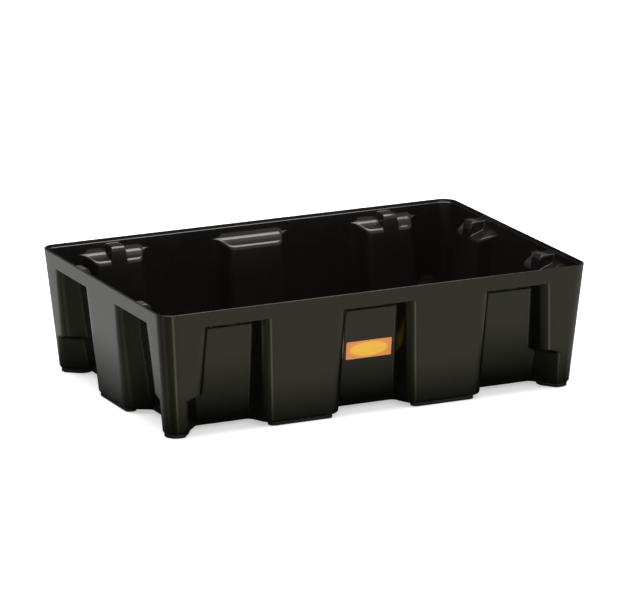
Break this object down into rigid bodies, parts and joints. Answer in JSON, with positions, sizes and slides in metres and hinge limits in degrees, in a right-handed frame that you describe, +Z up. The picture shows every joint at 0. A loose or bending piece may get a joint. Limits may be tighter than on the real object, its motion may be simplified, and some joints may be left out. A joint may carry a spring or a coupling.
{
  "type": "spill containment pallet",
  "caption": "Low black plastic sump tray with drafted walls, pressed-in bays, hollow pilasters and corner legs, ledges with nubs for a grating, foot pads and a plain label.",
  "frame": {"origin": "on the ground, under the middle of the tray", "axes": "+X along the length, +Y across the width towards the back, +Z up; the labelled long wall faces -Y"},
  "size_m": [1.2, 0.8, 0.33],
  "materials": {
    "tray_plastic": "satin moulded polyethylene, glossier inside",
    "label_film": "printed film label, orange with a plain yellow oval",
    "pad_rubber": "matt black"
  },
  "bodies": {
    "root": {"tray": "tray_plastic", "label_plate": "label_film", "foot_pad_front_left": "pad_rubber", "foot_pad_front_mid_left": "pad_rubber", "foot_pad_front_mid_right": "pad_rubber", "foot_pad_front_right": "pad_rubber", "foot_pad_right": "pad_rubber", "foot_pad_left": "pad_rubber", "foot_pad_back_left": "pad_rubber", "foot_pad_back_mid_left": "pad_rubber", "foot_pad_back_mid_right": "pad_rubber", "foot_pad_back_right": "pad_rubber"}
  },
  "joints": []
}
